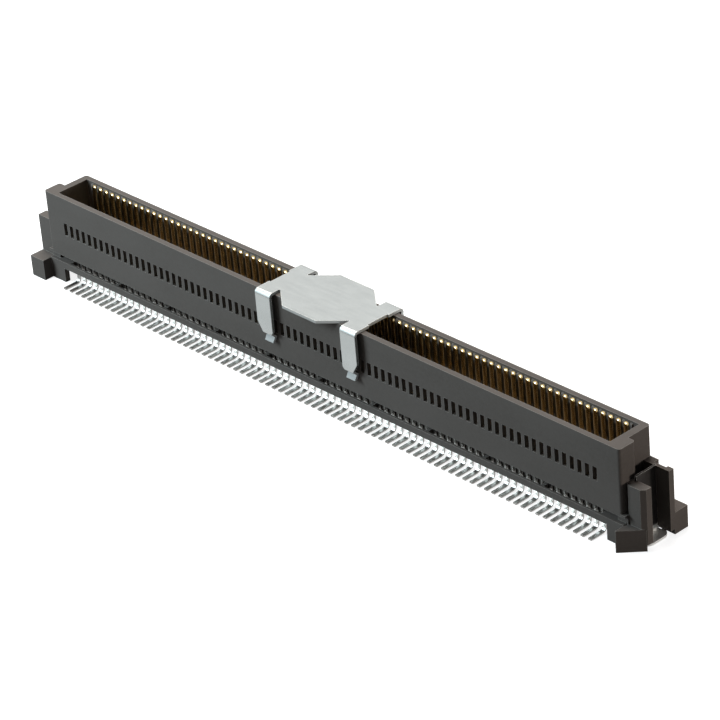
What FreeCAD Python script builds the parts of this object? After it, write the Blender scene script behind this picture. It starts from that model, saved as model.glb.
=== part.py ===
import FreeCAD, Part
import os
import Sketcher

# A long shrouded surface-mount connector plug: a moulded housing with two rows of contacts,
# a sheet pick-up clip over its middle and a sheet hold-down at each end.
# The origin is on the board surface under the middle of the housing. X runs along the rows,
# +Y is the back and +Z points away from the board. All sizes are in millimetres.

SIZES = {
    # contact rows
    "pitch": 0.8,
    "banks": 10,
    "bank_size": 8,
    "contact_width": 0.4,
    "contact_sheet": 0.15,
    "contact_gap": 0.125,
    "contact_drop": 0.21,
    "lead_reach": 3.15,
    "lead_bend": 0.5,
    # shroud
    "cavity_width": 3.25,
    "wall": 0.5,
    "end_margin": 1.18,
    "end_wall": 0.68,
    "total_height": 8.59,
    "floor_top": 3.0,
    "trough_top": 2.6,
    "corner_round": 0.25,
    # rail under the trough, tied to the floor by webs between the banks
    "rail_top": 2.0,
    "rail_bottom": 1.38,
    "rail_proud": 0.085,
    "rail_wall": 0.22,
    "web_width": 0.3,
    # windows in the long walls
    "window_width": 0.46,
    "window_shift": -0.1,
    "window_bottom": 4.88,
    "window_height": 1.21,
    # keys, skirts and feet at the ends
    "key_length": 0.71,
    "key_inner": 0.35,
    "skirt_overlap": 0.89,
    "skirt_length": 1.74,
    "skirt_wall": 0.5,
    "end_recess": 0.3,
    "foot_length": 1.75,
    "foot_inner": 1.64,
    "foot_outer": 3.14,
    "foot_height": 1.95,
    "foot_flat": 0.07,
    # ears and the channel between them
    "base_top": 2.8,
    "ear_bottom": 0.5,
    "front_ear_top": 5.45,
    "back_ear_top": 5.88,
    "front_ear_outer": 1.7,
    "front_web_outer": 1.4,
    "back_ear_outer": 1.73,
    "back_ear_length": 0.56,
    "back_neck_outer": 1.52,
    "back_block_outer": 2.0,
    "back_block_length": 0.84,
    "channel_front": 0.8,
    "channel_back": 1.2,
    "ear_corner": 0.35,
    # solder hold-downs
    "plate_sheet": 0.2,
    "plate_top": 5.88,
    "plate_grip": 0.12,
    "plate_gap": 0.17,
    "tab_neck": 0.25,
    "tab_inset": 0.26,
    "tab_front": 1.2,
    "tab_back": 1.48,
    "tab_round": 0.75,
    # pick-up clip
    "clip_sheet": 0.25,
    "clip_bend": 0.4,
    "clip_leg_place": 4.2,
    "clip_leg_width": 1.75,
    "clip_leg_outer": 2.75,
    "clip_leg_drop": 3.64,
    "clip_lip_bend": 0.35,
    "clip_lip_height": 0.45,
    "clip_lip_flare": 0.25,
    "clip_short_cut": 0.2,
    "clip_short_cut_height": 0.22,
    "clip_long_cut": 0.55,
    "clip_long_cut_height": 0.9,
    "clip_pad_half": 2.0,
    "clip_pad_outer": 3.3,
    "clip_notch_place": 4.05,
    "clip_notch_depth": 1.6,
    "clip_relief": 0.17,
    "clip_relief_half": 1.1,
}

# Shared expressions: each is worked out from the sheet, so that mating pieces move together.
CAVITY_SIDE = "(size.cavity_width / 2)"
WALL_SIDE = f"({CAVITY_SIDE} + size.wall)"
RAIL_SIDE = f"({WALL_SIDE} + size.rail_proud)"
CONTACT_OUTER = f"({CAVITY_SIDE} - size.contact_gap)"
CONTACT_INNER = f"({CONTACT_OUTER} - size.contact_sheet)"
# Both counts are whole numbers, so what is worked out from them uses them rounded.
BANKS = "round(size.banks)"
BANK_SIZE = "round(size.bank_size)"
ROW_COUNT = f"({BANKS} * {BANK_SIZE})"
ROW_START = f"(-({ROW_COUNT} - 1) / 2 * size.pitch)"
CONTACT_TOP = "(size.total_height - size.contact_drop)"
CAVITY_END = f"(size.end_margin - {ROW_START})"
END_FACE = f"({CAVITY_END} + size.end_wall)"
KEY_FACE = f"({END_FACE} + size.key_length)"
SKIRT_START = f"({END_FACE} - size.skirt_overlap)"
SKIRT_END = f"({SKIRT_START} + size.skirt_length)"
END_REACH = f"({SKIRT_END} + size.foot_length)"
PLATE_INNER = f"({SKIRT_END} + size.plate_gap)"
PLATE_OUTER = f"({PLATE_INNER} + size.plate_sheet)"
PLATE_FRONT = "(-size.channel_front - size.plate_grip)"
PLATE_BACK = "(size.channel_back + size.plate_grip)"
CLIP_TOP = "(size.total_height + size.clip_sheet)"
CLIP_END = "(size.clip_leg_place + size.clip_leg_width)"
CLIP_LAND = "(size.clip_leg_outer - size.clip_bend)"
CLIP_LEG_BOTTOM = "(size.total_height - size.clip_leg_drop)"
CLIP_GRIP = f"({CLIP_LEG_BOTTOM} - size.clip_lip_bend)"
CLIP_BOTTOM = f"({CLIP_GRIP} - size.clip_lip_height)"


def write_sizes(doc):
    """Put the driving sizes in the sheet, one named cell each."""
    sheet = doc.addObject("Spreadsheet::Sheet", "size")
    for row, (name, value) in enumerate(SIZES.items(), start=1):
        sheet.set(f"A{row}", name)
        sheet.set(f"B{row}", str(value))
        sheet.setAlias(f"B{row}", name)
    doc.recompute()


def new_body(doc, label):
    body = doc.addObject("PartDesign::Body", label)
    body.Label = label
    body.AllowCompound = True
    return body


def origin_feature(body, role):
    return next(item for item in body.Origin.OriginFeatures if item.Role == role)


def sketch_on(body, name, plane, height=None):
    """Start a sketch on one of the body's origin planes, raised by an expression."""
    sketch = body.newObject("Sketcher::SketchObject", name)
    sketch.AttachmentSupport = [(origin_feature(body, plane), "")]
    sketch.MapMode = "FlatFace"
    if height is not None:
        sketch.setExpression("AttachmentOffset.Base.z", height)
    return sketch


def outline(sketch, corners):
    """Draw a closed outline whose corners are pairs of expressions from the origin."""
    first = sketch.GeometryCount
    count = len(corners)
    spots = [FreeCAD.Vector(1 + i, 1 + i * i, 0) for i in range(count)]
    for i in range(count):
        sketch.addGeometry(Part.LineSegment(spots[i], spots[(i + 1) % count]), False)
    for i in range(count):
        following = first + (i + 1) % count
        sketch.addConstraint(Sketcher.Constraint("Coincident", first + i, 2, following, 1))
    for i, corner in enumerate(corners):
        for kind, start, expression in zip(("DistanceX", "DistanceY"), spots[i], corner):
            rule = Sketcher.Constraint(kind, -1, 1, first + i, 1, start)
            number = sketch.addConstraint(rule)
            sketch.setExpression(f"Constraints[{number}]", expression)


def rectangle(sketch, left, right, low, high):
    outline(sketch, [(left, low), (right, low), (right, high), (left, high)])


def pad(body, name, sketch, length, symmetric=False):
    feature = body.newObject("PartDesign::Pad", name)
    feature.Profile = sketch
    feature.setExpression("Length", length)
    feature.SideType = "Symmetric" if symmetric else "One side"
    return feature


def pocket(body, name, sketch, length, symmetric=False):
    feature = body.newObject("PartDesign::Pocket", name)
    feature.Profile = sketch
    feature.setExpression("Length", length)
    feature.SideType = "Symmetric" if symmetric else "One side"
    return feature


def row_pattern(body, name, feature, spacing, count):
    """Repeat a feature along X."""
    pattern = body.newObject("PartDesign::LinearPattern", name)
    pattern.Originals = [feature]
    pattern.Direction = (origin_feature(body, "X_Axis"), [""])
    pattern.Mode = "Spacing"
    pattern.Refine = False
    pattern.setExpression("Offset", spacing)
    pattern.setExpression("Occurrences", count)
    body.Tip = pattern
    return pattern


def round_edges(body, name, radius, wanted):
    """Round the edges that pass the test."""
    body.Document.recompute()
    base = body.Tip
    edges = enumerate(base.Shape.Edges, start=1)
    names = [f"Edge{number}" for number, edge in edges if wanted(edge)]
    feature = body.newObject("PartDesign::Fillet", name)
    feature.Base = (base, names)
    feature.setExpression("Radius", radius)
    return feature


def both_ends(sketch, start, end, low, high):
    """Draw the same rectangle at the right end and mirrored at the left end."""
    rectangle(sketch, start, end, low, high)
    rectangle(sketch, f"-{end}", f"-{start}", low, high)


def both_sides(sketch, left, right, inner, outer):
    """Draw the same rectangle at the back and mirrored at the front."""
    rectangle(sketch, left, right, inner, outer)
    rectangle(sketch, left, right, f"-{outer}", f"-{inner}")


def add_shroud(body):
    """Extrude the walls, trough and rail in one section, then sink the cavity into it."""
    section = sketch_on(body, "shroud_section", "YZ_Plane")
    back = [
        (RAIL_SIDE, "size.rail_bottom"),
        (RAIL_SIDE, "size.rail_top"),
        (CONTACT_INNER, "size.rail_top"),
        (CONTACT_INNER, "size.trough_top"),
        (WALL_SIDE, "size.trough_top"),
        (WALL_SIDE, "size.total_height"),
    ]
    front = [(f"-{y}", z) for y, z in reversed(back)]
    outline(section, back + front)
    pad(body, "shroud", section, f"2 * {END_FACE}", symmetric=True)

    opening = sketch_on(body, "cavity_outline", "XY_Plane", "size.total_height")
    rectangle(opening, f"-{CAVITY_END}", CAVITY_END, f"-{CAVITY_SIDE}", CAVITY_SIDE)
    pocket(body, "cavity", opening, "size.total_height - size.floor_top")


def add_base(body):
    """Stand the ends on a stepped base block, side skirts and four feet."""
    block = sketch_on(body, "base_outline", "XY_Plane", "size.rail_bottom")
    recess = f"({WALL_SIDE} - size.end_recess)"
    both_ends(block, END_FACE, PLATE_INNER, f"-{recess}", recess)
    pad(body, "base", block, "size.base_top - size.rail_bottom")
    ledge = sketch_on(body, "ledge_outline", "XY_Plane", "size.trough_top")
    both_ends(ledge, END_FACE, PLATE_INNER, f"-{WALL_SIDE}", WALL_SIDE)
    pad(body, "ledge", ledge, "size.base_top - size.trough_top")

    skirts = sketch_on(body, "skirt_outline", "XY_Plane")
    inner = f"({RAIL_SIDE} - size.skirt_wall)"
    both_sides(skirts, SKIRT_START, SKIRT_END, inner, RAIL_SIDE)
    both_sides(skirts, f"-{SKIRT_END}", f"-{SKIRT_START}", inner, RAIL_SIDE)
    pad(body, "skirts", skirts, "size.rail_top")

    feet = sketch_on(body, "foot_outline", "XY_Plane")
    rectangle(feet, SKIRT_END, END_REACH, "size.foot_inner", "size.foot_outer")
    both_sides(feet, f"-{END_REACH}", f"-{SKIRT_END}", "size.foot_inner", "size.foot_outer")
    # The right front foot is cut across its corner at 45 degrees to mark the first contact.
    cut_end = "(size.foot_length - size.foot_flat - size.foot_outer)"
    outline(feet, [
        (SKIRT_END, cut_end),
        (SKIRT_END, "-size.foot_outer"),
        (f"{SKIRT_END} + size.foot_flat", "-size.foot_outer"),
        (END_REACH, cut_end),
    ])
    pad(body, "feet", feet, "size.foot_height")


def add_keys(body):
    """Raise the two key blocks that steer the mating half, level with the rim."""
    keys = sketch_on(body, "key_outline", "XY_Plane", "size.trough_top")
    both_ends(keys, END_FACE, KEY_FACE, f"-{WALL_SIDE}", "-size.key_inner")
    pad(body, "keys", keys, "size.total_height - size.trough_top")


def add_ears(body):
    """Raise a front and a back ear at each end, then cut the slots of the hold-downs."""
    front_ears = sketch_on(body, "front_ear_outline", "XY_Plane", "size.ear_bottom")
    back_ears = sketch_on(body, "back_ear_outline", "XY_Plane", "size.ear_bottom")
    corner = "size.ear_corner"
    neck_end = f"({END_REACH} - size.back_ear_length)"
    block_end = f"({END_FACE} + size.back_block_length)"
    for sign in ("", "-"):
        front = [
            (f"{sign}{KEY_FACE}", "-size.channel_front"),
            (f"{sign}{KEY_FACE}", "-size.front_web_outer"),
            (f"{sign}{PLATE_INNER}", "-size.front_web_outer"),
            (f"{sign}{PLATE_INNER}", "-size.front_ear_outer"),
        ]
        if sign:
            front.append((f"-{END_REACH}", "-size.front_ear_outer"))
        else:
            front.append((f"{END_REACH} - {corner}", "-size.front_ear_outer"))
            front.append((END_REACH, f"{corner} - size.front_ear_outer"))
        front.append((f"{sign}{END_REACH}", "-size.channel_front"))
        outline(front_ears, front)
        outline(back_ears, [
            (f"{sign}{END_FACE}", "size.channel_back"),
            (f"{sign}{END_FACE}", "size.back_block_outer"),
            (f"{sign}{block_end}", "size.back_block_outer"),
            (f"{sign}{block_end}", "size.back_neck_outer"),
            (f"{sign}{neck_end}", "size.back_neck_outer"),
            (f"{sign}{neck_end}", "size.back_ear_outer"),
            (f"{sign}{END_REACH}", "size.back_ear_outer"),
            (f"{sign}{END_REACH}", "size.channel_back"),
        ])
    pad(body, "front_ears", front_ears, "size.front_ear_top - size.ear_bottom")
    pad(body, "back_ears", back_ears, "size.back_ear_top - size.ear_bottom")

    slots = sketch_on(body, "plate_slot_outline", "XY_Plane", "size.plate_top")
    both_ends(slots, PLATE_INNER, PLATE_OUTER, PLATE_FRONT, PLATE_BACK)
    pocket(body, "plate_slots", slots, "size.plate_top")


def round_shroud_corners(body):
    """Round the upright corners of the keys and of the back of the end walls."""
    size = body.Document.getObject("size")
    row_end = (round(size.banks) * round(size.bank_size) - 1) / 2 * size.pitch
    end_face = row_end + size.end_margin + size.end_wall

    def wanted(edge):
        box = edge.BoundBox
        upright = box.XLength + box.YLength < size.wall / 100
        at_rim = box.ZMax > size.total_height - size.wall / 100
        place = abs(box.Center.x)
        at_key = place > end_face + size.key_length / 2
        at_back = place > end_face - size.end_wall / 2 and box.Center.y > 0
        return upright and at_rim and (at_key or at_back)

    body.Tip = round_edges(body, "corner_rounds", "size.corner_round", wanted)


def cut_contact_openings(body):
    """Cut the floor passages, the rail slots and the wall windows along both rows."""
    half = "size.contact_width / 2"
    passages = sketch_on(body, "passage_outline", "XY_Plane", "size.floor_top")
    left = f"{ROW_START} - {half}"
    right = f"{ROW_START} + {half}"
    both_sides(passages, left, right, CONTACT_INNER, CONTACT_OUTER)
    depth = "size.floor_top - size.trough_top"
    passage = pocket(body, "first_passages", passages, depth)
    passage.Refine = False
    row_pattern(body, "passages", passage, "size.pitch", ROW_COUNT)

    # Each rail slot takes one bank of contacts; the webs between the slots carry the rail.
    slots = sketch_on(body, "rail_slot_outline", "XY_Plane", "size.rail_top")
    left = f"{ROW_START} - (size.pitch - size.web_width) / 2"
    right = f"{ROW_START} + ({BANK_SIZE} - 0.5) * size.pitch - size.web_width / 2"
    both_sides(slots, left, right, CONTACT_INNER, f"({RAIL_SIDE} - size.rail_wall)")
    slot = pocket(body, "first_rail_slots", slots, "size.rail_top - size.rail_bottom")
    slot.Refine = False
    row_pattern(body, "rail_slots", slot, f"size.pitch * {BANK_SIZE}", BANKS)

    windows = sketch_on(body, "window_outline", "XZ_Plane")
    left = f"{ROW_START} + size.window_shift - size.window_width / 2"
    right = f"{ROW_START} + size.window_shift + size.window_width / 2"
    top = "size.window_bottom + size.window_height"
    rectangle(windows, left, right, "size.window_bottom", top)
    window = pocket(body, "first_windows", windows, f"2 * {WALL_SIDE}", symmetric=True)
    window.Refine = False
    row_pattern(body, "windows", window, "size.pitch", ROW_COUNT)


def build_housing(doc):
    body = new_body(doc, "housing")
    add_shroud(body)
    add_base(body)
    add_keys(body)
    add_ears(body)
    round_shroud_corners(body)
    cut_contact_openings(body)
    return body


def build_contacts(doc, label, sign, bank):
    """Build one bank of like contacts: a blade on the cavity wall and a lead bent outward."""
    body = new_body(doc, label)
    place = f"{ROW_START} + {bank} * {BANK_SIZE} * size.pitch"
    profile = sketch_on(body, f"{label}_profile", "YZ_Plane", place)
    # The bend is one flat at 45 degrees, and this share of the sheet keeps it as thick.
    heel = "(size.lead_bend + (2 - sqrt(2)) * size.contact_sheet)"
    side = [
        (CONTACT_INNER, CONTACT_TOP),
        (CONTACT_OUTER, CONTACT_TOP),
        (CONTACT_OUTER, "size.contact_sheet + size.lead_bend"),
        (f"({CONTACT_OUTER} + size.lead_bend)", "size.contact_sheet"),
        ("size.lead_reach", "size.contact_sheet"),
        ("size.lead_reach", "0"),
        (f"({CONTACT_INNER} + {heel})", "0"),
        (CONTACT_INNER, heel),
    ]
    outline(profile, [(f"{sign}{y}", z) for y, z in side])
    contact = pad(body, f"{label}_first", profile, "size.contact_width", symmetric=True)
    row_pattern(body, f"{label}_row", contact, "size.pitch", BANK_SIZE)
    return body


def build_hold_down(doc, label, sign):
    """Bend a sheet into a plate between the ears and a solder tab on the board."""
    body = new_body(doc, label)
    tab_start = f"({PLATE_OUTER} + size.tab_neck)"
    tab_end = f"({END_REACH} - size.tab_inset)"

    bend = sketch_on(body, f"{label}_bend", "XZ_Plane", f"-{PLATE_BACK}")
    side = [
        (PLATE_INNER, "size.plate_top"),
        (PLATE_OUTER, "size.plate_top"),
        (PLATE_OUTER, "size.plate_sheet"),
        (tab_start, "size.plate_sheet"),
        (tab_start, "0"),
        (PLATE_INNER, "0"),
    ]
    outline(bend, [(f"{sign}{x}", z) for x, z in side])
    pad(body, f"{label}_plate", bend, f"{PLATE_BACK} - {PLATE_FRONT}")

    tab = sketch_on(body, f"{label}_tab_outline", "XY_Plane")
    left, right = (f"{sign}{tab_start}", f"{sign}{tab_end}")
    rectangle(tab, left, right, "-size.tab_front", "size.tab_back")
    body.Tip = pad(body, f"{label}_tab", tab, "size.plate_sheet")

    size = doc.getObject("size")
    hair = size.plate_sheet / 100
    reach = abs(body_reach(body, sign))
    heel_place = reach + size.tab_inset + size.plate_gap - size.foot_length

    def outer_corner(edge):
        box = edge.BoundBox
        return box.XLength + box.YLength < hair and abs(box.Center.x) > reach - hair

    def heel(edge):
        box = edge.BoundBox
        return box.ZMax < hair and box.XLength < hair and abs(box.Center.x) < heel_place + hair

    body.Tip = round_edges(body, f"{label}_corners", "size.tab_round", outer_corner)
    body.Tip = round_edges(body, f"{label}_heel", "size.plate_sheet", heel)
    return body


def body_reach(body, sign):
    """Give how far the body reaches along X at its own end of the housing."""
    body.Document.recompute()
    box = body.Tip.Shape.BoundBox
    return box.XMin if sign else box.XMax


def add_clip_plate(body):
    """Lay the clip's flat plate, notched between its four legs, on the rim."""
    plate = sketch_on(body, "clip_plate_outline", "XY_Plane", "size.total_height")
    corners = [
        (f"({CLIP_END} - size.clip_relief)", "size.clip_relief_half"),
        (CLIP_END, "size.clip_relief_half"),
        (CLIP_END, CLIP_LAND),
        ("size.clip_leg_place", CLIP_LAND),
        ("size.clip_leg_place", "size.clip_notch_depth"),
        ("size.clip_notch_place", "size.clip_notch_depth"),
        ("size.clip_pad_half", "size.clip_pad_outer"),
    ]
    around = [(x, y) for x, y in corners]
    around += [(f"-{x}", y) for x, y in reversed(corners)]
    around += [(f"-{x}", f"-{y}") for x, y in corners]
    around += [(x, f"-{y}") for x, y in reversed(corners)]
    outline(plate, around)
    pad(body, "clip_plate", plate, "size.clip_sheet")


def add_clip_legs(body):
    """Bend four legs down outside the walls, each ending in a lip that grips the wall."""
    inner = "(size.clip_leg_outer - size.clip_sheet)"
    side = [
        (CLIP_LAND, CLIP_TOP),
        ("size.clip_leg_outer", CLIP_TOP),
        ("size.clip_leg_outer", CLIP_LEG_BOTTOM),
        (f"({WALL_SIDE} + size.clip_sheet)", CLIP_GRIP),
        (f"({WALL_SIDE} + size.clip_sheet + size.clip_lip_flare)", CLIP_BOTTOM),
        (f"({WALL_SIDE} + size.clip_lip_flare)", CLIP_BOTTOM),
        (WALL_SIDE, CLIP_GRIP),
        (inner, CLIP_LEG_BOTTOM),
        (inner, "size.total_height"),
        (CLIP_LAND, "size.total_height"),
    ]
    for name, place in (("right", "size.clip_leg_place"), ("left", f"-{CLIP_END}")):
        legs = sketch_on(body, f"clip_{name}_leg_profile", "YZ_Plane", place)
        outline(legs, side)
        outline(legs, [(f"-{y}", z) for y, z in side])
        body.Tip = pad(body, f"clip_{name}_legs", legs, "size.clip_leg_width")


def trim_clip_lips(body):
    """Cut the legs' lower corners so that each lip is narrower than its leg."""
    trims = sketch_on(body, "clip_trim_outline", "XZ_Plane")
    cuts = [
        ("size.clip_leg_place", "size.clip_short_cut", "size.clip_short_cut_height"),
        (CLIP_END, "-size.clip_long_cut", "size.clip_long_cut_height"),
    ]
    for edge, step, rise in cuts:
        for sign in ("", "-"):
            outline(trims, [
                (f"{sign}{edge}", f"{CLIP_LEG_BOTTOM} + {rise}"),
                (f"{sign}({edge} + {step})", CLIP_LEG_BOTTOM),
                (f"{sign}({edge} + {step})", CLIP_BOTTOM),
                (f"{sign}{edge}", CLIP_BOTTOM),
            ])
    body.Tip = pocket(body, "clip_trims", trims, "2 * size.clip_leg_outer", symmetric=True)


def round_clip_bends(body):
    size = body.Document.getObject("size")
    hair = size.clip_sheet / 100

    def bend_at(height, side):
        def wanted(edge):
            box = edge.BoundBox
            level = box.ZLength < hair and abs(box.Center.z - height) < hair
            return level and abs(abs(box.Center.y) - side) < hair and box.YLength < hair
        return wanted

    top = size.total_height + size.clip_sheet
    outer = bend_at(top, size.clip_leg_outer)
    body.Tip = round_edges(body, "clip_outer_bends", "size.clip_bend", outer)
    inner = bend_at(size.total_height, size.clip_leg_outer - size.clip_sheet)
    radius = "size.clip_bend - size.clip_sheet"
    body.Tip = round_edges(body, "clip_inner_bends", radius, inner)


def build_clip(doc):
    body = new_body(doc, "pick_up_clip")
    add_clip_plate(body)
    add_clip_legs(body)
    trim_clip_lips(body)
    round_clip_bends(body)
    return body


def check(doc, bodies):
    """Stop if anything failed to build, before any file is written."""
    failed = [item.Name for item in doc.Objects if {"Invalid", "Error"} & set(item.State)]
    for body in bodies:
        if body.Shape.isNull() or not body.Shape.isValid():
            failed.append(body.Label)
    if failed:
        raise RuntimeError("these did not build: " + ", ".join(failed))


def main():
    doc = FreeCAD.newDocument("smd_connector_plug")
    write_sizes(doc)
    bodies = [
        build_housing(doc),
        build_clip(doc),
        build_hold_down(doc, "hold_down_right", ""),
        build_hold_down(doc, "hold_down_left", "-"),
    ]
    for name, sign in (("front", "-"), ("back", "")):
        for bank in range(round(SIZES["banks"])):
            bodies.append(build_contacts(doc, f"{name}_contacts_{bank + 1:02d}", sign, bank))
    doc.recompute()
    check(doc, bodies)
    os.makedirs("parts", exist_ok=True)
    for body in bodies:
        body.Shape.exportStep(f"parts/{body.Label}.step")
        box = body.Shape.BoundBox
        print(body.Label, len(body.Shape.Solids), "solids", round(body.Shape.Volume, 3), "mm3",
              round(box.XMin, 2), round(box.XMax, 2), round(box.YMin, 2), round(box.YMax, 2),
              round(box.ZMin, 2), round(box.ZMax, 2))


main()
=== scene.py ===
# %% [markdown]
# # A long surface-mount connector plug
# The object is a moulded housing, 72 mm long, with two rows of formed contacts in its cavity. A
# sheet clip over its middle gives a pick-and-place nozzle a flat to hold, and a sheet hold-down
# at each end is soldered to the board. All of it could be modelled here, but the solids already
# exist in the construction model, so that is loaded as a fixed frame. This lesson gives the
# solids their finish, and makes the contacts again with the bends that the solids lack.

# %% Load the frame
import math
import bmesh
import bpy
from mathutils import Matrix, Vector


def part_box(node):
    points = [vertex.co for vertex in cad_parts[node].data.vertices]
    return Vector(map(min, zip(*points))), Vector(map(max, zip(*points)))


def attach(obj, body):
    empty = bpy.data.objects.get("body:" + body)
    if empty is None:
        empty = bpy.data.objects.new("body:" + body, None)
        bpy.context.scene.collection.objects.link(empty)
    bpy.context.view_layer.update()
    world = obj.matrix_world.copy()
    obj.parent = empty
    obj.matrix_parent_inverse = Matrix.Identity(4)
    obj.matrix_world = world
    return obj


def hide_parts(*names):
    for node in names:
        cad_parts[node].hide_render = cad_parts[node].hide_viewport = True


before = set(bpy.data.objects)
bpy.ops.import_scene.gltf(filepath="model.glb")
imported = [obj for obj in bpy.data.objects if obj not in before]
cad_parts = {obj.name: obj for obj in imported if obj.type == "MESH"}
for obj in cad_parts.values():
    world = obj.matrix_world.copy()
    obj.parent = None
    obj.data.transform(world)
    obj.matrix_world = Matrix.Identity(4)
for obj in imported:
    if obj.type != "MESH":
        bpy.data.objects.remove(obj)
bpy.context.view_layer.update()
MM = 0.001


# %% [markdown]
# ## Colour handling
# The picture to match is a close studio shot on white. Blender's usual view transform softens
# bright tones and would turn the white ground grey. Standard keeps each colour as it is
# written, and that is what matching a finish against a photograph needs.

# %% Colour handling
scene = bpy.context.scene
scene.view_settings.view_transform = "Standard"
print("view transform:", scene.view_settings.view_transform)

# %% [markdown]
# ## The camera
# The photograph was taken from the right front with a long lens. A Track To constraint is the
# usual way to aim a camera, but it leaves no roll, and this picture leans by five degrees. So
# three turns set the direction: round the upright axis, down from the horizon, and the roll of
# the frame. Place and lens come from matching corners of the housing and the row of windows.

# %% Camera
CAMERA_PLACE = Vector((193.764, -166.521, 149.087)) * MM
CAMERA_AZIMUTH = math.radians(48.844)
CAMERA_ELEVATION = math.radians(29.804)
CAMERA_ROLL = math.radians(-4.956)
CAMERA_LENS = 178.9
CAMERA_SEES_FROM = 10 * MM
CAMERA_SEES_TO = 10.0
QUARTER_TURN = math.radians(90)


def make_camera():
    """Place the camera by its three turns."""
    data = bpy.data.cameras.new("camera")
    data.lens = CAMERA_LENS
    data.clip_start = CAMERA_SEES_FROM
    data.clip_end = CAMERA_SEES_TO
    camera = bpy.data.objects.new("camera", data)
    scene.collection.objects.link(camera)
    turn = Matrix.Rotation(CAMERA_AZIMUTH, 4, "Z")
    tilt = Matrix.Rotation(QUARTER_TURN - CAMERA_ELEVATION, 4, "X")
    roll = Matrix.Rotation(CAMERA_ROLL, 4, "Z")
    camera.matrix_world = Matrix.Translation(CAMERA_PLACE) @ turn @ tilt @ roll
    scene.camera = camera
    return camera


camera = make_camera()
print("camera distance, mm:", round(camera.location.length / MM, 1))

# %% [markdown]
# ## The world
# Metal shows its surroundings, so the world matters even in a studio. A picture wrapped round
# the scene could serve, but it would bring someone else's room into every mirror. A plain white
# world is simpler, and a Light Path node tells its rays apart: it adds a little fill, mirrors
# see it pale, as bright metal needs, and the camera sees it white.

# %% World
WHITE = (1, 1, 1, 1)
WORLD_FILL = 0.04
WORLD_MIRRORED = 0.7
WORLD_SEEN = 1.0


def ray_is(nodes, links, names):
    """Give 1 for a ray of one of the named types, else 0."""
    path = nodes.new("ShaderNodeLightPath")
    total = path.outputs[names[0]]
    for name in names[1:]:
        join = nodes.new("ShaderNodeMath")
        join.operation = "MAXIMUM"
        links.new(total, join.inputs[0])
        links.new(path.outputs[name], join.inputs[1])
        total = join.outputs[0]
    return total


def where_ray_is(nodes, links, names, usual, special):
    """Mix two shaders so that rays of the named types meet the special one."""
    mix = nodes.new("ShaderNodeMixShader")
    factor, first, second = mix.inputs
    links.new(ray_is(nodes, links, names), factor)
    links.new(usual, first)
    links.new(special, second)
    return mix.outputs[0]


def white_background(nodes, strength):
    """Give a plain white background of one strength."""
    background = nodes.new("ShaderNodeBackground")
    background.inputs["Color"].default_value = WHITE
    background.inputs["Strength"].default_value = strength
    return background.outputs[0]


def light_world():
    """Make the world a dim fill that mirrors and the camera see brighter."""
    world = bpy.data.worlds.new("studio")
    scene.world = world
    world.use_nodes = True
    nodes, links = world.node_tree.nodes, world.node_tree.links
    nodes.clear()
    light = white_background(nodes, WORLD_FILL)
    mirrored = white_background(nodes, WORLD_MIRRORED)
    light = where_ray_is(nodes, links, ["Is Glossy Ray"], light, mirrored)
    seen = white_background(nodes, WORLD_SEEN)
    light = where_ray_is(nodes, links, ["Is Camera Ray"], light, seen)
    out = nodes.new("ShaderNodeOutputWorld")
    links.new(light, out.inputs["Surface"])
    return world


world = light_world()
print("nodes in the world:", len(world.node_tree.nodes))

# %% [markdown]
# ## The lamps
# The shadows beside the clip's legs show where the light stood. A cool key lamp is at the left
# front, close enough to fade towards the right end. A softbox high on the left and behind
# makes the rim the brightest plastic, and leaves the low ledges at the right in shadow. A small
# lamp just above the ground lights the right end faces and never looks into the cavity. Sun
# lamps would be quicker to aim, but they don't fade with distance, and area lamps do.

# %% Lamps
LAMPS = {
    # name: azimuth from the front, elevation, distance in m, size in m, power in W, colour
    "key_lamp": (-41, 30, 0.19, 0.09, 0.40, (0.75, 0.92, 1.0)),
    "high_softbox": (-120, 68, 0.42, 0.26, 2.0, (1.0, 0.95, 0.9)),
    "low_end_lamp": (110, 4, 0.20, 0.026, 0.12, (1.0, 0.93, 0.86)),
}


def hang_lamp(name, azimuth, elevation, distance, size, power, colour):
    """Hang a square lamp that faces the object, from angles in degrees."""
    data = bpy.data.lights.new(name, "AREA")
    data.shape = "SQUARE"
    data.size = size
    data.energy = power
    data.color = colour
    lamp = bpy.data.objects.new(name, data)
    scene.collection.objects.link(lamp)
    around, up = math.radians(azimuth), math.radians(elevation)
    flat = math.cos(up)
    away = Vector((math.sin(around) * flat, -math.cos(around) * flat, math.sin(up)))
    lamp.location = away * distance
    lamp.rotation_euler = (-away).to_track_quat("-Z", "Y").to_euler()
    return lamp


for name, settings in LAMPS.items():
    lamp = hang_lamp(name, *settings)
    print(name, "hangs at, mm:", [round(part / MM) for part in lamp.location])

# %% [markdown]
# ## The floor
# The photograph has a bare white ground, yet the shaded sides of the housing are almost black,
# so little light comes back up from that ground. A single white cloth is the usual floor, and
# it can't do both. So the floor is a dark cloth for the light that bounces off it. The camera
# sees a pale cloth that carries the soft shadow, with a share of plain white on top, and
# mirrors see a pale grey.

# %% Floor finish
FLOOR_BOUNCE = (0.1, 0.1, 0.1, 1)
FLOOR_PALE = (0.5, 0.5, 0.5, 1)
FLOOR_GLOW = 0.85
FLOOR_MIRRORED = 0.57
NO_GLOW = 0.0


def cloth_and_glow(nodes, links, colour, strength):
    """Give a diffuse cloth with a share of plain white on top."""
    cloth = nodes.new("ShaderNodeBsdfDiffuse")
    cloth.inputs["Color"].default_value = colour
    glow = nodes.new("ShaderNodeEmission")
    glow.inputs["Strength"].default_value = strength
    both = nodes.new("ShaderNodeAddShader")
    links.new(cloth.outputs[0], both.inputs[0])
    links.new(glow.outputs[0], both.inputs[1])
    return both.outputs[0]


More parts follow.
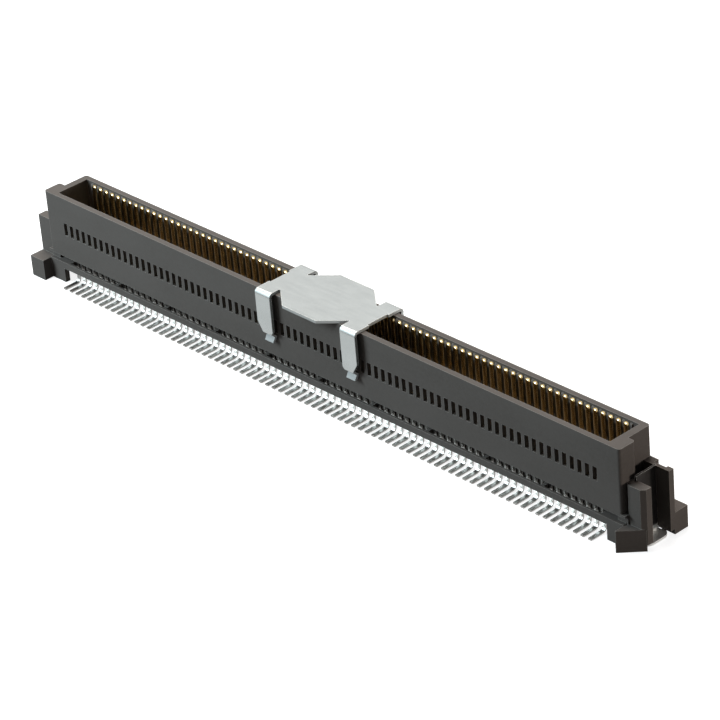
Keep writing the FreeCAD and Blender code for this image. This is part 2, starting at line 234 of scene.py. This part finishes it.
def floor_finish():
    """Make the floor dark for bounced light, grey for mirrors and pale for the camera."""
    material = bpy.data.materials.new("white_floor")
    material.use_nodes = True
    nodes, links = material.node_tree.nodes, material.node_tree.links
    nodes.clear()
    look = cloth_and_glow(nodes, links, FLOOR_BOUNCE, NO_GLOW)
    mirrored = cloth_and_glow(nodes, links, FLOOR_BOUNCE, FLOOR_MIRRORED)
    look = where_ray_is(nodes, links, ["Is Glossy Ray", "Is Transmission Ray"], look, mirrored)
    seen = cloth_and_glow(nodes, links, FLOOR_PALE, FLOOR_GLOW)
    look = where_ray_is(nodes, links, ["Is Camera Ray"], look, seen)
    out = nodes.new("ShaderNodeOutputMaterial")
    links.new(look, out.inputs["Surface"])
    return material


def tell(material):
    """Print how many nodes a finish has."""
    print(f"{material.name}: {len(material.node_tree.nodes)} nodes")


cloth = floor_finish()
tell(cloth)

# %% [markdown]
# The floor itself is one square. Blender's Add Plane operator makes the same, but an operator
# needs the right mode and changes what is selected. A mesh built in code does neither, and the
# contacts and ribs further down are made the same way. The square lies a hair under the board
# surface, so that the feet of the part and the floor don't share one plane and flicker.

# %% Lay the floor
FLOOR_HALF = 2.0
FLOOR_DROP = 0.01 * MM


def make_piece(name, form, material):
    """Turn a mesh under construction into an object with one finish."""
    mesh = bpy.data.meshes.new(name)
    form.to_mesh(mesh)
    form.free()
    piece = bpy.data.objects.new(name, mesh)
    piece.data.materials.append(material)
    scene.collection.objects.link(piece)
    return piece


form = bmesh.new()
bmesh.ops.create_grid(form, x_segments=1, y_segments=1, size=FLOOR_HALF)
floor = make_piece("floor", form, cloth)
floor.location.z = -FLOOR_DROP
print("floor, m across:", 2 * max(corner.co.x for corner in floor.data.vertices))

# %% [markdown]
# ## Finishes
# Every finish is a Principled shader with a little procedural detail. Image textures are the
# other way, but they need a UV map and show their pixels in a close view, and noise has neither
# fault. The pattern uses Object coordinates, which here are metres in the object's own frame,
# so its scale is real. Noise mostly keeps to the middle of its range, and spreading that part
# gives each finish the low and high value it asks for.

# %% Grain for a finish
NOISE_USUAL = (0.3, 0.7)
EVEN = (1, 1, 1)


def new_finish(name):
    """Start a Principled material and give its node tree and shader."""
    material = bpy.data.materials.new(name)
    material.use_nodes = True
    tree = material.node_tree
    return material, tree, tree.nodes["Principled BSDF"]


def noise(tree, size_mm, detail=2.0, stretch=EVEN):
    """Give noise with a grain of about size_mm, longer along an axis scaled under 1."""
    place = tree.nodes.new("ShaderNodeTexCoord")
    scale = tree.nodes.new("ShaderNodeMapping")
    scale.inputs["Scale"].default_value = stretch
    tree.links.new(place.outputs["Object"], scale.inputs["Vector"])
    grain = tree.nodes.new("ShaderNodeTexNoise")
    grain.inputs["Scale"].default_value = 1 / (size_mm * MM)
    grain.inputs["Detail"].default_value = detail
    tree.links.new(scale.outputs["Vector"], grain.inputs["Vector"])
    return grain.outputs["Fac"]


def map_range(tree, value, source, target):
    """Map a value from one range to another, and hold it at the ends."""
    span = tree.nodes.new("ShaderNodeMapRange")
    span.inputs["From Min"].default_value, span.inputs["From Max"].default_value = source
    span.inputs["To Min"].default_value, span.inputs["To Max"].default_value = target
    tree.links.new(value, span.inputs["Value"])
    return span.outputs["Result"]


def spread(tree, value, low, high):
    """Map a noise from its usual range to the range low to high."""
    return map_range(tree, value, NOISE_USUAL, (low, high))


print("noise is spread from", NOISE_USUAL, "to what each finish asks for")

# %% [markdown]
# ### Mixing and bump
# A pattern becomes colour when it mixes two tones, and relief when it drives a bump. True
# displacement would move the surface itself, but it needs a dense mesh, and pits of a few
# microns show only in how they scatter light. The Mix node holds sockets of the same name for
# every type of value, so a socket is found by its name and its type together.


# %% Mixing and bump
def socket_of(sockets, name, kind):
    """Find the socket with this name and type."""
    return next(socket for socket in sockets if (socket.name, socket.type) == (name, kind))


def blend(tree, amount, first, second):
    """Mix two colours, or outputs that give a colour, by an amount."""
    mix = tree.nodes.new("ShaderNodeMix")
    mix.data_type = "RGBA"
    tree.links.new(amount, mix.inputs["Factor"])
    for name, colour in (("A", first), ("B", second)):
        target = socket_of(mix.inputs, name, "RGBA")
        if isinstance(colour, tuple):
            target.default_value = (*colour, 1)
        else:
            tree.links.new(colour, target)
    return socket_of(mix.outputs, "Result", "RGBA")


def bump(tree, shader, height, depth_mm, strength):
    """Raise the surface by a noise."""
    node = tree.nodes.new("ShaderNodeBump")
    node.inputs["Strength"].default_value = strength
    node.inputs["Distance"].default_value = depth_mm * MM
    tree.links.new(height, node.inputs["Height"])
    tree.links.new(node.outputs["Normal"], shader.inputs["Normal"])


print("helpers made: socket_of, blend, bump")

# %% [markdown]
# ### Worn and highlit edges
# Handling rubs the edges of a moulding paler, and on the housing and the hold-downs the paler
# edges are also a painted highlight, the thin line of light that a rounded edge catches. They
# could be painted by hand, or found by the Pointiness value, but that one needs a dense mesh.
# Here a Bevel node gives the normal of a slightly rounded copy of the surface. It differs from
# the true one only near a sharp edge, so their dot product finds every such edge by itself. A
# wide bend is not sharp, and stays out.

# %% Worn and highlit edges
BEVEL_SAMPLES = 6
NORMALS_AGREE = 0.995
NORMALS_DIFFER = 0.93


def worn_and_highlit_edges(tree, radius_mm, amount):
    """Give a mask that is bright where the surface turns over a sharp edge."""
    rounded = tree.nodes.new("ShaderNodeBevel")
    rounded.samples = BEVEL_SAMPLES
    rounded.inputs["Radius"].default_value = radius_mm * MM
    plain = tree.nodes.new("ShaderNodeNewGeometry")
    agree = tree.nodes.new("ShaderNodeVectorMath")
    agree.operation = "DOT_PRODUCT"
    tree.links.new(rounded.outputs["Normal"], agree.inputs[0])
    tree.links.new(plain.outputs["True Normal"], agree.inputs[1])
    turned = (NORMALS_AGREE, NORMALS_DIFFER)
    return map_range(tree, agree.outputs["Value"], turned, (0.0, amount))


turns = [round(math.degrees(math.acos(dot)), 1) for dot in (NORMALS_AGREE, NORMALS_DIFFER)]
print("degrees between the normals where the mask begins and is full:", turns)

# %% [markdown]
# ### Moulded housing
# The housing is a heat-resistant plastic filled with glass fibre: dark warm grey, dull, with
# faint flow clouds along its length and a very fine pitted skin. One flat grey would look like
# paint. So two greys are mixed by coarse clouds and by fine specks, a third noise stretched
# along the moulding moves the roughness, and the finest one gives the pits.

# %% Housing plastic
PLASTIC_DARK = (0.088, 0.076, 0.068)
PLASTIC_LIGHT = (0.118, 0.103, 0.094)
# colour of the paler sharp edges: partly rubbed wear, partly a painted highlight
PLASTIC_RUBBED_AND_HIGHLIT = (0.26, 0.24, 0.222)
PLASTIC_SHINE = 0.09


def housing_plastic():
    """Make the dull grey plastic of the housing."""
    material, tree, shader = new_finish("housing_plastic")
    clouds = noise(tree, size_mm=5.0, detail=4.0, stretch=(0.35, 1, 1))
    clouds = spread(tree, clouds, low=0.15, high=0.85)
    colour = blend(tree, clouds, PLASTIC_DARK, PLASTIC_LIGHT)
    specks = spread(tree, noise(tree, size_mm=0.22, detail=3.0), low=0.0, high=0.5)
    colour = blend(tree, specks, colour, PLASTIC_LIGHT)
    # Paler sharp edges: partly rubbed wear, partly a painted highlight like the thin line of
    # light along the rim.
    rubbed = worn_and_highlit_edges(tree, radius_mm=0.08, amount=0.7)
    colour = blend(tree, rubbed, colour, PLASTIC_RUBBED_AND_HIGHLIT)
    tree.links.new(colour, shader.inputs["Base Color"])
    sheen = noise(tree, size_mm=1.6, detail=3.0, stretch=(0.4, 1, 1))
    sheen = spread(tree, sheen, low=0.45, high=0.62)
    tree.links.new(sheen, shader.inputs["Roughness"])
    shader.inputs["Specular IOR Level"].default_value = PLASTIC_SHINE
    pits = noise(tree, size_mm=0.09, detail=4.0)
    bump(tree, shader, pits, depth_mm=0.008, strength=0.5)
    return material


plastic = housing_plastic()
tell(plastic)

# %% [markdown]
# ### Contact plating
# Each contact is one strip with two platings over nickel: smooth gold on the blade in the
# cavity, and duller tin on the lead outside. Between the two, where the strip passes through
# the floor, the nickel is left bare, and its colour is painted dark as the shade of the trough
# it runs through. Three materials could be given to the faces one by one, but a border could
# then only run between faces. A mask by the height above the board puts it anywhere and lets
# it fade a little.


# %% Bands of height
def above(tree, height_mm, soft_mm):
    """Give 0 below a height over the board and 1 above it, with a soft step."""
    place = tree.nodes.new("ShaderNodeTexCoord")
    split = tree.nodes.new("ShaderNodeSeparateXYZ")
    tree.links.new(place.outputs["Object"], split.inputs[0])
    step = ((height_mm - soft_mm) * MM, (height_mm + soft_mm) * MM)
    return map_range(tree, split.outputs["Z"], step, (0.0, 1.0))


def blend_values(tree, amount, first, second):
    """Mix two outputs that give a plain value, by an amount."""
    mix = tree.nodes.new("ShaderNodeMix")
    mix.data_type = "FLOAT"
    tree.links.new(amount, mix.inputs["Factor"])
    tree.links.new(first, socket_of(mix.inputs, "A", "VALUE"))
    tree.links.new(second, socket_of(mix.inputs, "B", "VALUE"))
    return socket_of(mix.outputs, "Result", "VALUE")


def by_band(tree, mixer, masks, choices):
    """Pick one choice for each band of height, from the lowest band up."""
    picked = choices[0]
    for mask, choice in zip(masks, choices[1:]):
        picked = mixer(tree, mask, picked, choice)
    return picked


# %% Contact plating
GOLD = (0.88, 0.70, 0.38)
GOLD_WORN = (0.72, 0.55, 0.30)
TIN = (0.60, 0.585, 0.56)
TIN_DULL = (0.50, 0.49, 0.47)
NICKEL_IN_PAINTED_SHADE = (0.15, 0.14, 0.13)
TIN_ENDS = 1.55
GOLD_STARTS = 3.0


def contact_metal():
    """Plate a contact with tin, bare nickel painted dark as shade, and gold, from the board up.
    """
    material, tree, shader = new_finish("contact_metal")
    wear = noise(tree, size_mm=0.25, stretch=(1, 1, 0.12))
    wear = spread(tree, wear, low=0.0, high=1.0)
    gold = blend(tree, wear, GOLD, GOLD_WORN)
    tin = blend(tree, wear, TIN, TIN_DULL)
    untinned = above(tree, TIN_ENDS, soft_mm=0.15)
    gilded = above(tree, GOLD_STARTS, soft_mm=0.1)
    # The bare nickel band is painted dark as the shade of the trough.
    colour = by_band(tree, blend, [untinned, gilded], [tin, NICKEL_IN_PAINTED_SHADE, gold])
    tree.links.new(colour, shader.inputs["Base Color"])
    shader.inputs["Metallic"].default_value = 1.0
    rubbed = noise(tree, size_mm=0.3, stretch=(1, 1, 0.3))
    dull = spread(tree, rubbed, low=0.29, high=0.36)
    smooth = spread(tree, rubbed, low=0.11, high=0.17)
    rough = by_band(tree, blend_values, [gilded], [dull, smooth])
    tree.links.new(rough, shader.inputs["Roughness"])
    drawn = noise(tree, size_mm=0.1, stretch=(1, 1, 0.1))
    bump(tree, shader, drawn, depth_mm=0.001, strength=0.1)
    return material


plating = contact_metal()
tell(plating)

# %% [markdown]
# ### Clip sheet
# The clip is stamped from bright rolled strip. Rolling leaves faint hair lines along the strip,
# and an anisotropic shader could hint at them. Stretched noise in the roughness and a shallow
# bump show the lines themselves. Where the sheet is cut its skin is duller, which the worn
# edges give. Wide bends are rougher, and their colour is painted darker as shade, which tones
# down the highlight along them. The lips at the foot of the legs are scraped matt by the wall
# when the clip is pushed on, and their colour too is painted darker as shade, which dims the
# highlight they catch. Those two are picked by their height.

# %% Clip sheet
CLIP_COLOUR = (0.66, 0.69, 0.68)
CLIP_SHADE = (0.61, 0.64, 0.63)
CLIP_CUT = (0.44, 0.45, 0.44)
# painted shade: darker colours for the bends and the lips, to dim their highlights
CLIP_BENT_IN_PAINTED_SHADE = (0.38, 0.39, 0.38)
CLIP_LIP_IN_PAINTED_SHADE = (0.38, 0.385, 0.38)
LIP_ENDS = 4.9
BEND_STARTS = 8.42
BEND_ENDS = 8.8


def clip_metal():
    """Make the bright strip of the clip, duller where it is cut, bent or scraped, with painted
    shade on the bends and the lips.
    """
    material, tree, shader = new_finish("clip_sheet")
    stain = spread(tree, noise(tree, size_mm=2.5, detail=3.0), low=0.0, high=1.0)
    cut = worn_and_highlit_edges(tree, radius_mm=0.12, amount=1.0)
    bands = [
        above(tree, LIP_ENDS, soft_mm=0.06),
        above(tree, BEND_STARTS, soft_mm=0.05),
        above(tree, BEND_ENDS, soft_mm=0.02),
    ]
    strip = blend(tree, cut, blend(tree, stain, CLIP_COLOUR, CLIP_SHADE), CLIP_CUT)
    # The lips and the band of the bends get colours painted darker as shade.
    colour = by_band(tree, blend, bands, [CLIP_LIP_IN_PAINTED_SHADE, strip, CLIP_BENT_IN_PAINTED_SHADE, strip])
    tree.links.new(colour, shader.inputs["Base Color"])
    shader.inputs["Metallic"].default_value = 0.9
    lines = noise(tree, size_mm=0.25, detail=3.0, stretch=(0.12, 1, 1))
    bright = spread(tree, lines, low=0.21, high=0.26)
    worked = spread(tree, lines, low=0.5, high=0.6)
    scraped = spread(tree, lines, low=0.78, high=0.86)
    flat = blend_values(tree, cut, bright, worked)
    rough = by_band(tree, blend_values, bands, [scraped, flat, worked, flat])
    tree.links.new(rough, shader.inputs["Roughness"])
    bump(tree, shader, lines, depth_mm=0.001, strength=0.2)
    return material


clip_finish = clip_metal()
tell(clip_finish)

# %% [markdown]
# ### Hold-down sheet
# A hold-down is dull bare strip, its colour painted almost as dark as the plastic round it: the
# near-black is painted shade, and stands in for the dark reflections on its plate. Its sharp
# edges are painted paler, partly wear and partly a painted highlight. Only its solder tab is
# tinned, up to just above the board. It is one solid, so two materials would need its faces
# sorted by hand, and the mask by height that plates the contacts does it here as well.

# %% Hold-down sheet
TAB_TIN = (0.86, 0.86, 0.84)
TAB_DULL_AND_EDGE_HIGHLIGHT = (0.76, 0.76, 0.74)
# near-black painted shade for the bare strip, for the shade and dark reflections on the plate
BARE_STRIP_IN_PAINTED_SHADE = (0.03, 0.027, 0.025)
BARE_LIGHTER = 1.5
TINNED_UP_TO = 0.72


def hold_down_metal():
    """Make the strip of a hold-down in painted shade, with paler edges partly painted
    highlight, and its tab tinned.
    """
    material, tree, shader = new_finish("hold_down_sheet")
    stain = spread(tree, noise(tree, size_mm=0.8, detail=3.0), low=0.0, high=1.0)
    tinned = blend(tree, stain, TAB_TIN, TAB_DULL_AND_EDGE_HIGHLIGHT)
    # Painted shade: the bare strip is near black, and the stain only varies it.
    bare_in_painted_shade = blend(tree, stain, BARE_STRIP_IN_PAINTED_SHADE, tuple(BARE_LIGHTER * part for part in BARE_STRIP_IN_PAINTED_SHADE))
    rubbed = worn_and_highlit_edges(tree, radius_mm=0.04, amount=0.5)
    # Paler sharp edges on the bare strip: partly wear, partly a painted highlight along the top
    # edge.
    bare_in_painted_shade = blend(tree, rubbed, bare_in_painted_shade, TAB_DULL_AND_EDGE_HIGHLIGHT)
    untinned = above(tree, TINNED_UP_TO, soft_mm=0.08)
    colour = by_band(tree, blend, [untinned], [tinned, bare_in_painted_shade])
    tree.links.new(colour, shader.inputs["Base Color"])
    shader.inputs["Metallic"].default_value = 0.5
    shader.inputs["Specular IOR Level"].default_value = 0.2
    grain = noise(tree, size_mm=0.4, detail=3.0, stretch=(1, 0.3, 1))
    tree.links.new(spread(tree, grain, low=0.4, high=0.52), shader.inputs["Roughness"])
    drawn = noise(tree, size_mm=0.3, stretch=(1, 0.3, 1))
    bump(tree, shader, drawn, depth_mm=0.001, strength=0.2)
    return material


hold_down_finish = hold_down_metal()
tell(hold_down_finish)

# %% [markdown]
# ## Dress the solids
# The housing, the clip and the hold-downs keep their solids. Moulded and stamped edges are
# never knife sharp, and a sharp edge catches no light. Rounding could be modelled into the
# solids, at the price of many faces. A narrow Bevel modifier gives the same and leaves the mesh
# alone. The solids arrive as triangles, so a planar decimate first joins those that lie in one
# plane, and the bevel then has clean edges to follow.

# %% Dress the solids
DRESS = {
    # node: finish, width of the softened edges in millimetres
    "housing": (plastic, 0.05),
    "pick_up_clip": (clip_finish, 0.1),
    "hold_down_right": (hold_down_finish, 0.03),
    "hold_down_left": (hold_down_finish, 0.03),
}
FLAT_WITHIN = math.radians(1)
SHARP_FROM = math.radians(35)
EDGE_SEGMENTS = 2


def soften_edges(piece, width_mm):
    """Join flat triangles, then round the sharp edges a little."""
    flat = piece.modifiers.new("join_flats", "DECIMATE")
    flat.decimate_type = "DISSOLVE"
    flat.angle_limit = FLAT_WITHIN
    edge = piece.modifiers.new("soft_edges", "BEVEL")
    edge.width = width_mm * MM
    edge.segments = EDGE_SEGMENTS
    edge.limit_method = "ANGLE"
    edge.angle_limit = SHARP_FROM
    edge.harden_normals = True


for node, (finish, width_mm) in DRESS.items():
    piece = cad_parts[node]
    piece.data.materials.clear()
    piece.data.materials.append(finish)
    soften_edges(piece, width_mm)
    print(f"{node}: {finish.name}, edges {width_mm} mm")

# %% [markdown]
# ## The contacts
# The solids of the contacts have square tips and flats for bends. The real strip has a tip that
# rolls back towards the wall, a blade, a narrower shank through the floor, a round bend and a
# flat foot. A curve with a bevel profile could draw it, but the curve's radius changes width
# and thickness together, and here only the width changes. So each contact is swept in code
# along its centre line. A station of the sweep holds a place, a direction and a width.

# %% The rolled tip, in millimetres
SHEET = 0.15
BLADE_OUTER = 1.5
BLADE_MIDDLE = BLADE_OUTER - SHEET / 2
BLADE_WIDTH = 0.48
TIP_TOP = 8.38
TIP_ROLL = 0.26
TIP_TURN = math.radians(62)
TIP_NARROWING = 0.45
TIP_LOWERED = SHEET / 4  # the sheet's own thickness stands above its middle line
ARC_STEPS = 8


def rolled_tip():
    """List the stations of the tip, from its end down to the start of the blade."""
    roll_start = TIP_TOP - TIP_ROLL * math.sin(TIP_TURN) - TIP_LOWERED
    stations = []
    for step in range(ARC_STEPS + 1):
        left = 1 - step / ARC_STEPS
        outer_half = max(0.0, 2 * left - 1)
        turn = TIP_TURN * left
        narrowing = 1 - TIP_NARROWING * outer_half ** 2
        y = BLADE_MIDDLE + TIP_ROLL * (1 - math.cos(turn))
        z = roll_start + TIP_ROLL * math.sin(turn)
        stations.append((y, z, -turn, BLADE_WIDTH * narrowing))
    return stations


print("tip stations:", len(rolled_tip()))

# %% [markdown]
# Below the blade the strip narrows to the lead, passes through the floor, turns outward in one
# round bend and ends in a foot on the board. The last station is a little narrower than the
# one before, because a sheared end is never quite square.

# %% The shank and the lead, in millimetres
LEAD_WIDTH = 0.40
BLADE_FOOT = 3.15
LEAD_REACH = 3.15
LEAD_BEND = 0.45
EDGE = 0.02


def shank_and_lead():
    """List the stations from the foot of the blade down to the end of the lead."""
    shank_top = BLADE_FOOT - (BLADE_WIDTH - LEAD_WIDTH)
    stations = [
        (BLADE_MIDDLE, BLADE_FOOT, 0.0, BLADE_WIDTH),
        (BLADE_MIDDLE, shank_top, 0.0, LEAD_WIDTH),
    ]
    for step in range(ARC_STEPS + 1):
        turn = QUARTER_TURN * step / ARC_STEPS
        y = BLADE_MIDDLE + LEAD_BEND * (1 - math.cos(turn))
        z = SHEET / 2 + LEAD_BEND * (1 - math.sin(turn))
        stations.append((y, z, turn, LEAD_WIDTH))
    stations.append((LEAD_REACH - EDGE, SHEET / 2, QUARTER_TURN, LEAD_WIDTH))
    stations.append((LEAD_REACH, SHEET / 2, QUARTER_TURN, LEAD_WIDTH - 2 * EDGE))
    return stations


STATIONS = rolled_tip() + shank_and_lead()
print("stations of a contact:", len(STATIONS))

# %% [markdown]
# A station becomes a ring of eight points, a rectangle with its corners cut. Four points would
# do for the form, but the cut corners catch a thin line of light, as coined metal does. Rings
# are joined by quads, and the first and the last are closed.


# %% Sweep one contact
def ring(station, along, side):
    """Give the eight points of one station's outline, in metres."""
    y, z, turn, width = station
    outward = Vector((0, math.cos(turn), math.sin(turn)))
    centre = Vector((0, y, z))
    half = width / 2
    near, far = -SHEET / 2, SHEET / 2
    outline = [
        (-half + EDGE, near), (half - EDGE, near), (half, near + EDGE), (half, far - EDGE),
        (half - EDGE, far), (-half + EDGE, far), (-half, far - EDGE), (-half, near + EDGE),
    ]
    points = []
    for across, through in outline:
        point = centre + outward * through
        points.append(Vector((along + across, point.y * side, point.z)) * MM)
    return points


def join_rings(form, rings):
    """Join rings of points by quads, and close the first and the last."""
    count = len(rings[0])
    for upper, lower in zip(rings, rings[1:]):
        for i in range(count):
            j = (i + 1) % count
            form.faces.new((upper[i], upper[j], lower[j], lower[i]))
    form.faces.new(rings[0])
    form.faces.new(rings[-1])


def sweep_contact(form, along, side):
    """Add one contact to the mesh under construction."""
    rings = []
    for station in STATIONS:
        rings.append([form.verts.new(point) for point in ring(station, along, side)])
    join_rings(form, rings)


print("points of a contact:", sum(len(ring(station, 0.0, 1)) for station in STATIONS))

# %% [markdown]
# One mesh holds the eight contacts of a bank and replaces the plain solids of that bank. An
# Array modifier could repeat one contact. A loop does the same in plain sight, and starts each
# bank where its solids stand. Shading is smooth round the bends. The flats of a lead meet in
# creases, while the blades are coined rounder, so only steep turns crease there.

# %% Make the contacts
PITCH = 0.8
LEAD_CREASE = math.radians(35)
BLADE_CREASE = math.radians(50)


def crease(form):
    """Shade the faces smooth, and keep the stamped edges crisp."""
    for face in form.faces:
        face.smooth = True
    for edge in form.edges:
        turn = edge.calc_face_angle()
        on_lead = edge.verts[0].co.z < BLADE_FOOT * MM
        edge.smooth = turn < (LEAD_CREASE if on_lead else BLADE_CREASE)


def make_bank(node, side, metal):
    """Sweep the contacts that stand where the node's solids are."""
    low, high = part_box(node)
    first = low.x / MM + LEAD_WIDTH / 2
    last = high.x / MM - LEAD_WIDTH / 2
    count = round((last - first) / PITCH) + 1
    form = bmesh.new()
    for index in range(count):
        sweep_contact(form, first + index * PITCH, side)
    bmesh.ops.recalc_face_normals(form, faces=form.faces)
    crease(form)
    bank = make_piece(f"{node}_formed", form, metal)
    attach(bank, "root")
    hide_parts(node)
    return count


made = 0
for node in sorted(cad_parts):
    if "contacts" in node:
        side = -1 if node.startswith("front") else 1
        made += make_bank(node, side, plating)
print("contacts made:", made)

# %% [markdown]
# ## Ribs between the contacts
# In the photograph a row of small ribs parts the tips of the contacts, like the teeth of a
# comb. They are moulded on the inner faces of the long walls, and are too fine for the solids.
# They could be a bump in the plastic, but a bump is flat from the side. So a rib is a short
# side profile pushed out along the housing. All the ribs of a wall are one mesh, sunk a hair
# into the wall that carries them.

# %% Make the ribs
CONTACTS_PER_ROW = 80
WALL_INSIDE = 1.62
RIB_WIDTH = 0.22
RIB_DEPTH = 0.15
RIB_SUNK = 0.02
RIB_FOOT = 7.7
RIB_SHOULDER = 8.22
RIB_LEAN = 0.04
RIB_LEAN_HEIGHT = 0.1
RIB_TOP = 8.42


def rib_profile():
    """List the corners of a rib seen along the housing, as y and z in millimetres."""
    inside = WALL_INSIDE - RIB_DEPTH
    wall = WALL_INSIDE + RIB_SUNK
    return [(wall, RIB_FOOT), (inside, RIB_FOOT + RIB_DEPTH), (inside, RIB_SHOULDER),
            (inside + RIB_LEAN, RIB_SHOULDER + RIB_LEAN_HEIGHT), (wall, RIB_TOP)]


def make_ribs(name, side, material):
    """Push the rib's profile out once between every two contacts and at both ends."""
    form = bmesh.new()
    for index in range(CONTACTS_PER_ROW + 1):
        along = (index - CONTACTS_PER_ROW / 2) * PITCH
        ends = []
        for edge in (along - RIB_WIDTH / 2, along + RIB_WIDTH / 2):
            points = [Vector((edge, y * side, z)) * MM for y, z in rib_profile()]
            ends.append([form.verts.new(point) for point in points])
        join_rings(form, ends)
    bmesh.ops.recalc_face_normals(form, faces=form.faces)
    ribs = make_piece(name, form, material)
    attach(ribs, "root")
    return ribs


for name, side in (("front_ribs", -1), ("back_ribs", 1)):
    ribs = make_ribs(name, side, plastic)
    print(f"{name}: {CONTACTS_PER_ROW + 1} ribs, {len(ribs.data.polygons)} faces")
